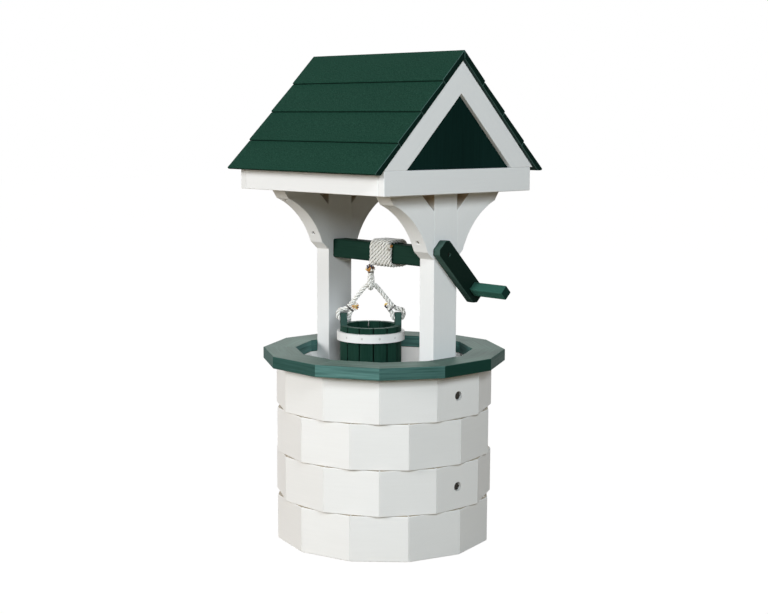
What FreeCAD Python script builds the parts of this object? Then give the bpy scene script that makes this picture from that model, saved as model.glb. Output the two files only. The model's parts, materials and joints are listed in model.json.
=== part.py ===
import FreeCAD, Part
import math
import os

from FreeCAD import Vector

# Wishing-well planter in white and green plastic lumber, in millimetres.
# +Z is up and the origin lies on the ground under the middle of the ring.
# The bar turns about X, the crank is on its +X end, and the eaves run along X at -Y and +Y.

# Ring of blocks and its coping
sides = 12
course_count = 4
course_high = 88.9
ring_across = 419.1
block_thick = 38.1
coping_across = 470.0
coping_thick = 24.0

# Floor slats on two crossed bearers
slat_count = 7
slat_wide = 43.0
slat_gap = 6.0
floor_thick = 16.0
bearer_thick = 38.1
wall_clearance = 1.0

# Posts with their bolts
post_thick = 38.1
post_wide = 62.0
post_top = 697.5
bolt_across = 8.0
bolt_hole = 8.8
bolt_head_flats = 13.0
bolt_head_thick = 5.3
nut_thick = 6.5
bolt_past_nut = 3.0
washer_across = 16.0
washer_thick = 1.5
counterbore_across = 18.0
counterbore_deep = 10.0

# Brackets: the hollow of each is an arc that faces down and away from the post
bracket_clip = 35.0
bracket_tip = 150.0
bracket_foot = (48.0, 586.0)
bracket_heel = 571.0
bracket_arc_centre = (196.0, 533.0)
bracket_arc_radius = 157.0
bracket_arc_half = 22.9
bracket_screw_angles = (116.0, 153.0)

# Beams under the roof
beam_high = 45.8
beam_thick = 16.5
beam_half_y = 196.5
head_rail_half_y = beam_half_y - beam_thick

# Roof: boards lapped in steps down a slope of 45 degrees
roof_peak = 947.2
roof_half_x = 217.0
board_lengths = (68.8, 79.8, 79.8, 77.9)
board_butt = 12.5
board_head = 10.0
ridge_board = 11.9
eave_level = 736.5
board_gap = 0.3

# Rakes and rafters, which share one profile, and the boards of the gable panels between them
rake_wide = 45.0
rafter_thick = 18.0
panel_thick = 8.0
panel_bottom = 723.0
panel_board = 58.5
panel_gap = 0.8
panel_under_roof = 1.0
panel_behind_face = 8.0
panel_clearance = 0.3

# Windlass
axis_high = 573.0
bar_square = 38.1
bar_edge = 4.3
bar_end_play = 0.7
tenon_across = 30.0
tenon_clearance = 0.08
tenon_short = 2.0
arm_gap = 0.75
arm_thick = 18.0
arm_wide = 39.0
arm_short = 38.0
arm_long = 113.0
arm_clip = 8.0
arm_bore_deep = 10.0
crank_down = 46.0
arm_screw_at = -12.0
handle_square = 20.0
handle_long = 84.0
handle_at = 86.5

# Rope: square turns round the bar, then the drop to the eye
rope = 8.2
rope_pitch = 8.65
rope_lift = 0.05
rope_turns = 6
rope_x = -12.0
rope_start_below = 12.0
rope_end_above = 15.0
rope_straighten = 60.0
drop_long = 12.0

# Nail through the end of the winding
winding_nail_head = 5.0
winding_nail_head_thick = 1.0
winding_nail_shank = 1.6
winding_nail_long = 24.0
winding_nail_from_end = 6.0

# Eye: the rope comes down, turns under and goes back up beside itself through a band
lay_gap = 0.45
eye_facing = 300.0
eye_radius = 9.8
eye_bottom = 501.6
eye_shift = 4.0
eye_neck_high = 529.5
eye_neck_radius = 10.0
eye_side_high = 517.0
eye_tail_radius = 12.0
eye_tail_top = 541.0
clamp_wall = 1.0
clamp_long = 3.2
eye_clamp_low = 532.0

# Bucket
bucket_outer = 61.4
bucket_inner = 48.4
bucket_low = 301.0
bucket_high = 428.0
ear_high = 452.4
ear_facing = 52.5
ear_arc = 20.4
staves_each_side = 6
stave_gap = 1.2
ear_hole_across = 13.5
ear_hole_high = 441.0
bottom_thick = 12.0
bottom_raise = 6.0
hoop_thick = 6.4
hoop_high = 17.0
hoop_lows = {"bucket_hoop_upper": 399.6, "bucket_hoop_lower": 315.0}
nail_first = -87.5
nail_step = 30.0
nails_each_side = 5
nail_head = 4.8
nail_head_thick = 1.2
nail_shank = 2.4
nail_long = 14.0
nail_sink = 0.6

# Bail: a rope that is tied through both ears and peaks in the eye
bail_slope = 50.0
bail_apex_radius = 13.0
bail_gap = 0.7
bail_out = 66.2
bail_in = 43.3
bail_low = 439.6
bail_over = 459.2
bail_loop_radius = 9.7
bail_inner_radius = 9.0
bail_bend_radius = 11.0
bail_tail_radius = 10.0
bail_clamp_from = 5.0
bail_tail = 12.5

# Screws: shank and head diameters, and how deep the head sits
screw_shank = 4.2
screw_head = 8.4
head_thick = 3.0
head_sink = 3.0
toe_below = 25.0
toe_side = 22.6
toe_long = 47.0
toe_sink = 6.0
bracket_screw_long = 48.0
post_screw_long = 76.0
pocket_screw_long = 23.0
beam_pocket_at = 14.0
beam_pocket_angle = 25.0
beam_pocket_sink = 6.0
rail_pocket_at = 25.0
rail_pocket_angle = 75.0
rail_pocket_sink = 16.0
rake_screws_down = (68.0, 200.0)
rake_screw_long = 35.0
panel_screw_up = 10.0
panel_screw_long = 16.0
panel_screw_sink = 1.0
first_roof_screw = 55.0
roof_screw_below_lap = 12.0
roof_screw_long = 50.0
arm_screw_long = 36.0
arm_screw_sink = 4.0
handle_screw_long = 48.0

# Sizes worked out from the above
facet = 360.0 / sides
ring_outer = ring_across / 2
ring_inner = ring_outer - block_thick
ring_top = course_count * course_high
floor_low = course_high
floor_top = floor_low + floor_thick
post_out = ring_inner
post_in = post_out - post_thick
beam_top = post_top + beam_high
gable_in = ring_outer - beam_thick
panel_in = gable_in - panel_thick
rafter_in = panel_in - rafter_thick
bar_half = post_in - bar_end_play
arm_in = post_out + arm_gap
arm_out = arm_in + arm_thick
rope_half = bar_square / 2 + rope / 2 + rope_lift
rope_corner = bar_edge + rope / 2 + rope_lift
rope_y = -rope_half
rope_start = axis_high - rope_start_below
drop_low = rope_start - drop_long
lay = rope + lay_gap
bail_apex = eye_bottom + rope + bail_gap
root_half = math.sqrt(0.5)
x_axis = Vector(1, 0, 0)
y_axis = Vector(0, 1, 0)
z_axis = Vector(0, 0, 1)

nodes = {}
holes = {}


# Shapes that several parts share

def polar(reach, azimuth, z=0.0):
    turn = math.radians(azimuth)
    return Vector(reach * math.cos(turn), reach * math.sin(turn), z)


def prism(points, way):
    outline = Part.makePolygon(points + [points[0]])
    return Part.Face(outline).extrude(way)


def slab(profile, x_low, x_high):
    """A solid whose outline in Y and Z is given, from one X to another."""
    points = [Vector(x_low, y, z) for y, z in profile]
    return prism(points, Vector(x_high - x_low, 0, 0))


def box(low, high):
    size = Vector(*high) - Vector(*low)
    return Part.makeBox(size.x, size.y, size.z, Vector(*low))


def mirrored(shape, side_x, side_y):
    """The piece that is drawn at +X and +Y, moved to another of the four corners."""
    if side_x < 0:
        shape = shape.mirror(Vector(), x_axis)
    if side_y < 0:
        shape = shape.mirror(Vector(), y_axis)
    return shape


def corner_point(point, side_x, side_y):
    return Vector(point.x * side_x, point.y * side_y, point.z)


def add(node, *solids):
    nodes.setdefault(node, []).extend(solids)


def drill(hole, *targets):
    for node in targets:
        holes.setdefault(node, []).append(hole)


def screw(node, targets, mouth, way, length, sink=head_sink):
    """A flat-headed screw from a mouth in the surface, with the hole that it fills."""
    way = Vector(way).normalize()
    seat = mouth + way * sink
    head = Part.makeCylinder(screw_head / 2, head_thick, seat, way)
    shank = Part.makeCylinder(screw_shank / 2, length, seat, way)
    solid = head.fuse(shank).removeSplitter().Solids[0]
    recess = Part.makeCylinder(screw_head / 2, 3 * sink, mouth - way * 2 * sink, way)
    add(node, solid)
    drill(solid.fuse(recess).removeSplitter(), *targets)


def hex_prism(flats, thick, base):
    """Six-sided, along X from the base point."""
    reach = flats / math.sqrt(3)
    points = []
    for step in range(6):
        turn = math.radians(60 * step)
        points.append(base + Vector(0, reach * math.cos(turn), reach * math.sin(turn)))
    return prism(points, Vector(thick, 0, 0))


# The ring, its coping and its floor

def ring_segment(outer, inner, z_low, high, azimuth):
    points = []
    for apothem, turn in ((outer, -0.5), (outer, 0.5), (inner, 0.5), (inner, -0.5)):
        reach = apothem / math.cos(math.radians(facet / 2))
        points.append(polar(reach, azimuth + turn * facet, z_low))
    return prism(points, Vector(0, 0, high))


def course_turn(course):
    """Courses 2 and 4 are turned by half a side, so that the joints are staggered."""
    return facet / 2 if course % 2 == 0 else 0.0


def course_name(course):
    return f"course_{course}"


def build_ring():
    for course in range(1, course_count + 1):
        z_low = ring_top - course * course_high
        for side in range(sides):
            azimuth = course_turn(course) + side * facet
            add(course_name(course), ring_segment(ring_outer, ring_inner, z_low, course_high, azimuth))
    for side in range(sides):
        add("coping_ring", ring_segment(coping_across / 2, ring_inner, ring_top, coping_thick, side * facet))


def toe_screw(node, lower, upper, azimuth, lateral, joint):
    """From the inner wall, up and outward through a joint."""
    outward = polar(1.0, azimuth)
    along = polar(1.0, azimuth + 90)
    mouth = outward * ring_inner + along * lateral + z_axis * (joint - toe_below)
    screw(node, (lower, upper), mouth, outward + z_axis, toe_long, toe_sink)


def build_ring_screws():
    for side in range(sides):
        toe_screw("coping_screws", course_name(1), "coping_ring", side * facet, 0.0, ring_top)
    for course in range(2, course_count + 1):
        joint = ring_top - (course - 1) * course_high
        for side in range(sides):
            azimuth = course_turn(course) + side * facet
            toe_screw("course_screws", course_name(course), course_name(course - 1), azimuth, toe_side, joint)


def build_floor():
    inside = ring_inner - wall_clearance
    reach = inside / math.cos(math.radians(facet / 2))
    outline = [polar(reach, (side + 0.5) * facet, floor_low) for side in range(sides)]
    disc = prism(outline, Vector(0, 0, floor_thick))
    step = slat_wide + slat_gap
    for slat in range(slat_count):
        middle = (slat - (slat_count - 1) / 2) * step
        low = (middle - slat_wide / 2, -ring_outer, floor_low)
        high = (middle + slat_wide / 2, ring_outer, floor_top)
        add("floor_slats", disc.common(box(low, high)).Solids[0])
    half = bearer_thick / 2
    cross = box((-half, -half, floor_low / 2), (half, half, floor_low))
    lap = box((-half, -half, 0), (half, half, floor_low / 2))
    along_x = box((-ring_inner, -half, 0), (ring_inner, half, floor_low)).cut(cross)
    along_y = box((-half, -ring_inner, 0), (half, ring_inner, floor_low)).cut(lap)
    add("floor_bearers", along_x.Solids[0], along_y.Solids[0])


# Posts, bolts and brackets

def post_name(side_x):
    return "post_right" if side_x > 0 else "post_left"


def build_posts():
    """The posts stand flat on the walls of courses 1 and 3, in a notch in the turned course between."""
    for side_x in (1, -1):
        low = (post_in, -post_wide / 2, floor_top)
        high = (post_out, post_wide / 2, post_top)
        post = mirrored(box(low, high), side_x, 1)
        add(post_name(side_x), post)
        drill(post, course_name(2))
        bore = Part.makeCylinder(tenon_across / 2 + tenon_clearance, 3 * post_thick,
                                 Vector(post_in - post_thick, 0, axis_high), x_axis)
        drill(mirrored(bore, side_x, 1), post_name(side_x))


def bolt_through(course, side_x):
    """Bolt, washers and nut on X, from the counterbore in the block to the inside of the post."""
    z = ring_top - (course - 0.5) * course_high
    seat = ring_outer - counterbore_deep
    head_in = seat + washer_thick
    nut_out = post_in - washer_thick
    bolt_end = nut_out - nut_thick - bolt_past_nut

    def rod(across, x_low, x_high):
        return Part.makeCylinder(across / 2, x_high - x_low, Vector(x_low, 0, z), x_axis)

    head = hex_prism(bolt_head_flats, bolt_head_thick, Vector(head_in, 0, z))
    shank = rod(bolt_across, bolt_end, head_in)
    bolt = head.fuse(shank).removeSplitter().Solids[0]
    outer_washer = rod(washer_across, seat, head_in).cut(shank).Solids[0]
    inner_washer = rod(washer_across, nut_out, post_in).cut(shank).Solids[0]
    nut = hex_prism(bolt_head_flats, nut_thick, Vector(nut_out - nut_thick, 0, z)).cut(shank).Solids[0]
    add("post_bolts", mirrored(bolt, side_x, 1))
    add("post_washers", mirrored(outer_washer, side_x, 1), mirrored(inner_washer, side_x, 1))
    add("post_nuts", mirrored(nut, side_x, 1))
    passage = rod(bolt_hole, bolt_end, ring_outer)
    recess = rod(counterbore_across, seat, ring_outer + counterbore_deep)
    drill(mirrored(passage, side_x, 1), post_name(side_x), course_name(course))
    drill(mirrored(recess, side_x, 1), course_name(course))


def build_bolts():
    for course in (1, 3):
        for side_x in (1, -1):
            bolt_through(course, side_x)


def on_arc(angle, radius=bracket_arc_radius):
    turn = math.radians(angle)
    return (bracket_arc_centre[0] + radius * math.cos(turn), bracket_arc_centre[1] + radius * math.sin(turn))


def bracket_solid():
    upper, middle, lower = (on_arc(135 + turn * bracket_arc_half) for turn in (-1, 0, 1))
    inner = post_wide / 2
    straight = [
        lower,
        bracket_foot,
        (inner, bracket_heel),
        (inner, post_top - bracket_clip),
        (inner + bracket_clip, post_top),
        (bracket_tip, post_top),
        upper,
    ]
    points = [Vector(post_in, y, z) for y, z in straight]
    edges = [Part.LineSegment(a, b).toShape() for a, b in zip(points, points[1:])]
    arc = Part.Arc(points[-1], Vector(post_in, *middle), points[0])
    outline = Part.Wire(edges + [arc.toShape()])
    return Part.Face(outline).extrude(Vector(post_thick, 0, 0))


def corner_names(stem):
    """Names of the four pieces of a kind, with the side of each in X and Y."""
    for word_x, side_x in (("right", 1), ("left", -1)):
        for word_y, side_y in (("front", -1), ("back", 1)):
            yield f"{stem}_{word_x}_{word_y}", side_x, side_y


def build_brackets():
    for name, side_x, side_y in corner_names("bracket"):
        add(name, mirrored(bracket_solid(), side_x, side_y))
        rail = "head_rail_right" if side_x > 0 else "head_rail_left"
        for angle, target in zip(bracket_screw_angles, (rail, post_name(side_x))):
            y, z = on_arc(angle)
            mouth = corner_point(Vector(post_in + post_thick / 2, y, z), side_x, side_y)
            out_y, out_z = y - bracket_arc_centre[0], z - bracket_arc_centre[1]
            screw("bracket_screws", (name, target), mouth, Vector(0, out_y * side_y, out_z),
                  bracket_screw_long)


# Beams, rafters, gables and roof

def build_beams():
    for word, side_x in (("right", 1), ("left", -1)):
        gable = box((gable_in, -beam_half_y, post_top), (ring_outer, beam_half_y, beam_top))
        rail = box((post_in, -head_rail_half_y, post_top), (post_out, head_rail_half_y, beam_top))
        add(f"gable_beam_{word}", mirrored(gable, side_x, 1))
        add(f"head_rail_{word}", mirrored(rail, side_x, 1))
        top = Vector(side_x * (post_in + post_thick / 2), 0, beam_top)
        screw("frame_screws", (f"head_rail_{word}", post_name(side_x)), top, -z_axis, post_screw_long)
        for eave, side_y in (("front", -1), ("back", 1)):
            corner_screws(word, eave, side_x, side_y)
    for eave, side_y in (("front", -1), ("back", 1)):
        beam = box((-gable_in, head_rail_half_y, post_top), (gable_in, beam_half_y, beam_top))
        add(f"eave_beam_{eave}", mirrored(beam, 1, side_y))


def corner_screws(word, eave, side_x, side_y):
    """Pocket screws that hide inside: eave beam to gable beam, and head rail to eave beam."""
    high = post_top + beam_high / 2
    mouth = corner_point(Vector(gable_in - beam_pocket_at, head_rail_half_y, high), side_x, side_y)
    way = corner_point(polar(1.0, beam_pocket_angle), side_x, side_y)
    pair = (f"eave_beam_{eave}", f"gable_beam_{word}")
    screw("frame_screws", pair, mouth, way, pocket_screw_long, beam_pocket_sink)
    mouth = corner_point(Vector(post_in, head_rail_half_y - rail_pocket_at, high), side_x, side_y)
    way = corner_point(polar(1.0, rail_pocket_angle), side_x, side_y)
    pair = (f"head_rail_{word}", f"eave_beam_{eave}")
    screw("frame_screws", pair, mouth, way, pocket_screw_long, rail_pocket_sink)


def on_roof(down, out):
    """The point in Y and Z at a distance down the underside from the peak, and out from it."""
    return ((down + out) * root_half, roof_peak + (out - down) * root_half)


def rake_profile():
    drop = rake_wide / root_half
    return [
        (0.0, roof_peak),
        (roof_peak - beam_top, beam_top),
        (roof_peak - drop - beam_top, beam_top),
        (0.0, roof_peak - drop),
    ]


def upright_board(near, far, low, peak, x_low, x_high):
    """A board from one Y to another whose top is cut off at the slope of the roof."""
    if peak - far - low < panel_clearance:
        outline = [(near, low), (peak - low, low), (near, peak - near)]
    else:
        outline = [(near, low), (far, low), (far, peak - far), (near, peak - near)]
    return slab(outline, x_low, x_high)


def gable_board(near, far):
    """A board that stands behind the rakes, with a thicker part that fills the gable between them."""
    wide_peak = roof_peak - panel_under_roof
    raised_peak = roof_peak - (rake_wide + panel_clearance) / root_half
    raised_low = beam_top + panel_clearance
    behind = upright_board(near, far, panel_bottom, wide_peak, panel_in, gable_in)
    face = ring_outer - panel_behind_face
    raised = upright_board(near, far, raised_low, raised_peak, gable_in, face)
    return behind.fuse(raised).removeSplitter().Solids[0]


def build_gables():
    for name, side_x, side_y in corner_names("rake"):
        rake = slab(rake_profile(), gable_in, ring_outer)
        rafter = slab(rake_profile(), rafter_in, panel_in)
        add(name, mirrored(rake, side_x, side_y))
        add("rafters", mirrored(rafter, side_x, side_y))
        word = "right" if side_x > 0 else "left"
        for down in rake_screws_down:
            y, z = on_roof(down, -rake_wide / 2)
            mouth = corner_point(Vector(rafter_in, y, z), side_x, side_y)
            targets = ("rafters", f"gable_panel_{word}", name)
            screw("frame_screws", targets, mouth, x_axis * side_x, rake_screw_long)
        for board in range(3):
            near, far = board * panel_board + panel_gap / 2, (board + 1) * panel_board - panel_gap / 2
            add(f"gable_panel_{word}", mirrored(gable_board(near, far), side_x, side_y))
            middle = Vector(panel_in, (near + far) / 2, panel_bottom + panel_screw_up)
            mouth = corner_point(middle, side_x, side_y)
            pair = (f"gable_panel_{word}", f"gable_beam_{word}")
            screw("frame_screws", pair, mouth, x_axis * side_x, panel_screw_long, panel_screw_sink)


def roof_board_profile(row):
    head = sum(board_lengths[:row])
    butt = head + board_lengths[row]
    if row == 0:
        return [(0.0, roof_peak), on_roof(butt, 0), on_roof(butt, board_butt),
                (0.0, roof_peak + ridge_board / root_half)]
    head = head + board_gap
    if row < len(board_lengths) - 1:
        return [on_roof(head, 0), on_roof(butt, 0), on_roof(butt, board_butt), on_roof(head, board_head)]
    level_out = (eave_level - roof_peak) / root_half + butt
    return [on_roof(head, 0), (roof_peak - eave_level, eave_level), on_roof(butt, level_out),
            on_roof(butt, board_butt), on_roof(head, board_head)]


def build_roof():
    for word, side_y in (("front", -1), ("back", 1)):
        for row in range(len(board_lengths)):
            name = f"roof_board_{word}_{row + 1}"
            board = slab(roof_board_profile(row), -roof_half_x, roof_half_x)
            add(name, mirrored(board, 1, side_y))
            down = sum(board_lengths[:row]) + roof_screw_below_lap if row else first_roof_screw
            y, z = on_roof(down, -rake_wide)
            for side_x in (1, -1):
                mouth = corner_point(Vector((rafter_in + panel_in) / 2, y, z), side_x, side_y)
                screw("roof_screws", ("rafters", name), mouth, Vector(0, side_y, 1), roof_screw_long)


# Windlass

def along_arm(distance, side, x):
    """A point in the crank's own directions: out along the arm, and across it."""
    turn = math.radians(-crank_down)
    out = Vector(0, math.cos(turn), math.sin(turn))
    across = Vector(0, -math.sin(turn), math.cos(turn))
    return Vector(x, 0, axis_high) + out * distance + across * side


def build_bar():
    half = bar_square / 2
    square = box((-bar_half, -half, axis_high - half), (bar_half, half, axis_high + half))
    long_edges = [edge for edge in square.Edges if edge.Length > bar_square * 2]
    bar = square.makeFillet(bar_edge, long_edges)
    left_end = -post_out + tenon_short
    right_end = arm_in + arm_bore_deep
    tenon = Part.makeCylinder(tenon_across / 2, right_end - left_end, Vector(left_end, 0, axis_high), x_axis)
    add("windlass_bar", bar.fuse(tenon).removeSplitter().Solids[0])
    drill(tenon, "crank_arm")


def build_crank():
    half, clip = arm_wide / 2, arm_clip
    outline = []
    for end, way in ((-arm_short, -1), (arm_long, 1)):
        corner = [(end - way * clip, -way * half), (end, -way * (half - clip)),
                  (end, way * (half - clip)), (end - way * clip, way * half)]
        outline.extend(corner)
    outline = [(distance, -side) for distance, side in outline]
    arm = prism([along_arm(distance, side, arm_in) for distance, side in outline], Vector(arm_thick, 0, 0))
    add("crank_arm", arm)
    half = handle_square / 2
    square = [(-half, -half), (half, -half), (half, half), (-half, half)]
    points = [along_arm(handle_at + distance, side, arm_out) for distance, side in square]
    add("crank_handle", prism(points, Vector(handle_long, 0, 0)))
    lock = along_arm(arm_screw_at, 0, arm_out)
    screw("crank_screws", ("crank_arm", "windlass_bar"), lock, -x_axis, arm_screw_long, arm_screw_sink)
    back = along_arm(handle_at, 0, arm_in)
    screw("crank_screws", ("crank_arm", "crank_handle"), back, x_axis, handle_screw_long)


# Rope

def rounded_path(points, radii):
    """Straight runs through the points, joined at each corner by a tangent arc."""
    edges = []
    start = points[0]
    for before, corner, after, radius in zip(points, points[1:], points[2:], radii):
        into = (corner - before).normalize()
        away = (after - corner).normalize()
        half_turn = into.getAngle(away) / 2
        cut = radius * math.tan(half_turn)
        first = corner - into * cut
        last = corner + away * cut
        middle = corner + (away - into).normalize() * radius * (1 / math.cos(half_turn) - 1)
        if (first - start).dot(into) > 0.01:
            edges.append(Part.LineSegment(start, first).toShape())
        edges.append(Part.Arc(first, middle, last).toShape())
        start = last
    edges.append(Part.LineSegment(start, points[-1]).toShape())
    return Part.Wire(edges)


def least_gap(path):
    """The least space between two stretches of the rope that are well apart along it."""
    step = 1.0
    count = int(path.Length / step)
    spots = path.discretize(Number=count)
    apart = int(4 * rope / step)
    gap = min(a.distanceToPoint(b) for i, a in enumerate(spots) for b in spots[i + apart:])
    return gap - rope


def rope_tube(name, points, radii):
    path = rounded_path(points, radii)
    circle = Part.makeCircle(rope / 2, points[0], points[1] - points[0])
    tube = path.makePipeShell([Part.Wire(circle)], True, False)
    solid = tube if tube.ShapeType == "Solid" else tube.Solids[0]
    section = math.pi * rope * rope / 4
    print(f"{name}: length {path.Length:.1f}, radii {min(radii):.1f} to {max(radii):.1f},",
          f"volume {solid.Volume / (section * path.Length):.4f} of section times length,",
          f"least gap {least_gap(path):.2f}, valid {solid.isValid()}")
    return solid


def build_winding():
    """Up the front, over the top, down the back and under, one pitch along X for each turn."""
    corners = ((-1, 1), (1, 1), (1, -1), (-1, -1))
    points = [Vector(rope_x, rope_y, rope_start), Vector(rope_x, rope_y, axis_high)]
    radii = [rope_straighten]
    for quarter in range(4 * rope_turns):
        side_y, side_z = corners[quarter % 4]
        x = rope_x + (quarter + 1) * rope_pitch / 4
        points.append(Vector(x, side_y * rope_half, axis_high + side_z * rope_half))
        radii.append(rope_corner)
    rise = (rope_half + rope_end_above) / (2 * rope_half)
    end = Vector(points[-1].x + rise * rope_pitch / 4, rope_y, axis_high + rope_end_above)
    points.append(end)
    add("rope_winding", rope_tube("rope_winding", points, radii))
    turn = points[6].distanceToPoint(points[5]) * 4 - 4 * rope_corner * (2 - math.pi / 2)
    print(f"rope per turn {turn:.2f}, per radian {turn / (2 * math.pi):.3f}, end of rope at x {end.x:.1f}")
    face = end - Vector(0, rope / 2, winding_nail_from_end)
    head = Part.makeCylinder(winding_nail_head / 2, winding_nail_head_thick, face, y_axis)
    shank = Part.makeCylinder(winding_nail_shank / 2, winding_nail_long, face, y_axis)
    nail = head.fuse(shank).removeSplitter().Solids[0]
    add("winding_nail", nail)
    drill(nail, "windlass_bar")


def build_drop():
    top = Vector(rope_x, rope_y, drop_low)
    add("rope_drop", Part.makeCylinder(rope / 2, drop_long, top, z_axis))


def sleeve(start, other, way):
    """A ring round two stretches of rope that lie side by side."""
    way = Vector(way).normalize()
    across = (other - start).normalize()
    side = way.cross(across)

    def stadium(radius):
        a, b = start + side * radius, other + side * radius
        c, d = other - side * radius, start - side * radius
        edges = [
            Part.LineSegment(a, b).toShape(),
            Part.Arc(b, other + across * radius, c).toShape(),
            Part.LineSegment(c, d).toShape(),
            Part.Arc(d, start - across * radius, a).toShape(),
        ]
        return Part.Face(Part.Wire(edges)).extrude(way * clamp_long)

    return stadium(rope / 2 + clamp_wall).cut(stadium(rope / 2)).Solids[0]


def eye_point(out, z):
    """A point in the upright plane of the eye, out from the hanging rope."""
    return Vector(rope_x, rope_y, z) + polar(out, eye_facing)


def build_eye():
    back, front = eye_shift - eye_radius, eye_shift + eye_radius
    route = [
        (0.0, drop_low, None),
        (0.0, eye_neck_high, eye_neck_radius),
        (back, eye_side_high, eye_neck_radius),
        (back, eye_bottom, eye_radius),
        (front, eye_bottom, eye_radius),
        (front, eye_side_high, eye_tail_radius),
        (lay, eye_neck_high, eye_tail_radius),
        (lay, eye_tail_top, None),
    ]
    points = [eye_point(out, z) for out, z, _ in route]
    radii = [radius for _, _, radius in route[1:-1]]
    add("rope_eye", rope_tube("rope_eye", points, radii))
    hanging, tail = eye_point(0, eye_clamp_low), eye_point(lay, eye_clamp_low)
    add("eye_clamp", sleeve(hanging, tail, z_axis))


# Bucket

bucket_spot = eye_point(eye_shift, 0.0)


def in_bucket(shape):
    return shape.translated(bucket_spot)


def tube(outer, inner, low, high):
    ring = Part.makeCylinder(outer, high - low, Vector(0, 0, low))
    return ring.cut(Part.makeCylinder(inner, high - low, Vector(0, 0, low)))


def wedge(first, last, low, high):
    """Everything between two upright planes through the bucket's axis, less half a gap at each."""
    reach = 2 * bucket_outer
    middle = (first + last) / 2
    shift = polar(stave_gap / 2 / math.sin(math.radians((last - first) / 2)), middle, low)
    points = [shift, shift + polar(reach, first), shift + polar(reach, last)]
    return prism(points, Vector(0, 0, high - low))


def build_bucket():
    regular = (360.0 - 2 * ear_arc) / (2 * staves_each_side)
    body = tube(bucket_outer, bucket_inner, bucket_low, bucket_high)
    tall = tube(bucket_outer, bucket_inner, bucket_low, ear_high)
    for turn in (0.0, 180.0):
        facing = ear_facing + turn
        ear = tall.common(wedge(facing - ear_arc / 2, facing + ear_arc / 2, bucket_low, ear_high))
        hole = Part.makeCylinder(ear_hole_across / 2, bucket_outer, Vector(0, 0, ear_hole_high),
                                 polar(1.0, facing))
        add("bucket_ears", in_bucket(ear.cut(hole).Solids[0]))
        for stave in range(staves_each_side):
            first = facing + ear_arc / 2 + stave * regular
            piece = body.common(wedge(first, first + regular, bucket_low, bucket_high))
            add("bucket_staves", in_bucket(piece.Solids[0]))
    disc = Part.makeCylinder(bucket_inner, bottom_thick, Vector(0, 0, bucket_low + bottom_raise))
    add("bucket_bottom", in_bucket(disc))
    for name, low in hoop_lows.items():
        hoop = tube(bucket_outer + hoop_thick, bucket_outer, low, low + hoop_high)
        add(name, in_bucket(hoop.Solids[0]))
        for turn in (0.0, 180.0):
            for nail in range(nails_each_side):
                hoop_nail(name, nail_first + turn + nail * nail_step, low + hoop_high / 2)


def hoop_nail(hoop, azimuth, z):
    inward = -polar(1.0, azimuth)
    face = bucket_outer + hoop_thick
    seat = polar(face - nail_sink, azimuth, z)
    head = Part.makeCylinder(nail_head / 2, nail_head_thick, seat, inward)
    shank = Part.makeCylinder(nail_shank / 2, nail_long, seat, inward)
    nail = in_bucket(head.fuse(shank).removeSplitter().Solids[0])
    mouth = polar(face + nail_head, azimuth, z)
    recess = Part.makeCylinder(nail_head / 2, nail_head + nail_sink, mouth, inward)
    add("hoop_nails", nail)
    drill(nail.fuse(in_bucket(recess)).removeSplitter(), hoop, "bucket_staves", "bucket_ears")


def bail_point(out, z):
    """A point in the upright plane through both ears."""
    return bucket_spot + polar(out, ear_facing, z)


def bail_half():
    """From the cut end, through the ear, over its top and up towards the peak."""
    slope = math.radians(bail_slope)
    peak = bail_apex + bail_apex_radius * (1 / math.cos(slope) - 1)
    foot = -(peak - bail_over) / math.tan(slope)
    tail_foot = (foot + lay * math.sin(slope), bail_over - lay * math.cos(slope))
    inner = tail_foot[1] - (tail_foot[0] + bail_in) * math.tan(slope)
    tail_end = (tail_foot[0] + bail_tail * math.cos(slope), tail_foot[1] + bail_tail * math.sin(slope))
    route = [
        (*tail_end, None),
        (-bail_in, inner, bail_tail_radius),
        (-bail_in, bail_low, bail_inner_radius),
        (-bail_out, bail_low, bail_loop_radius),
        (-bail_out, bail_over, bail_loop_radius),
        (foot, bail_over, bail_bend_radius),
    ]
    return route, (foot, bail_over), tail_foot, peak


def build_bail():
    left, foot, tail_foot, peak = bail_half()
    right = [(-out, z, radius) for out, z, radius in reversed(left)]
    route = left + [(0.0, peak, bail_apex_radius)] + right
    points = [bail_point(out, z) for out, z, _ in route]
    radii = [radius for _, _, radius in route[1:-1]]
    add("bail_rope", rope_tube("bail_rope", points, radii))
    slope = math.radians(bail_slope)
    for side in (-1, 1):
        way = bail_point(-side * math.cos(slope), math.sin(slope)) - bail_point(0, 0)
        main = bail_point(-side * foot[0], foot[1]) + way * bail_clamp_from
        tail = bail_point(-side * tail_foot[0], tail_foot[1]) + way * bail_clamp_from
        add("bail_clamps", sleeve(main, tail, way))


def drilled(solids, cuts):
    """The solids of a node less the holes that reach them."""
    kept = []
    for solid in solids:
        near = [cut for cut in cuts if cut.BoundBox.intersect(solid.BoundBox)]
        kept.extend(solid.cut(near).Solids if near else [solid])
    return kept


def save(name, solids):
    shape = solids[0] if len(solids) == 1 else Part.makeCompound(solids)
    shape.exportStep(os.path.join("parts", name + ".step"))
    bound = shape.BoundBox
    print(f"{name}: {len(solids)} solids, volume {shape.Volume / 1000:.1f} cm3,",
          f"x {bound.XMin:.1f} to {bound.XMax:.1f}, y {bound.YMin:.1f} to {bound.YMax:.1f},",
          f"z {bound.ZMin:.1f} to {bound.ZMax:.1f}, valid {shape.isValid()}")


build_ring()
build_ring_screws()
build_floor()
build_posts()
build_bolts()
build_brackets()
build_beams()
build_gables()
build_roof()
build_bar()
build_crank()
build_winding()
build_drop()
build_eye()
build_bucket()
build_bail()

os.makedirs("parts", exist_ok=True)
for node, solids in nodes.items():
    save(node, drilled(solids, holes.get(node, [])))
print(f"{len(nodes)} nodes")
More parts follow.
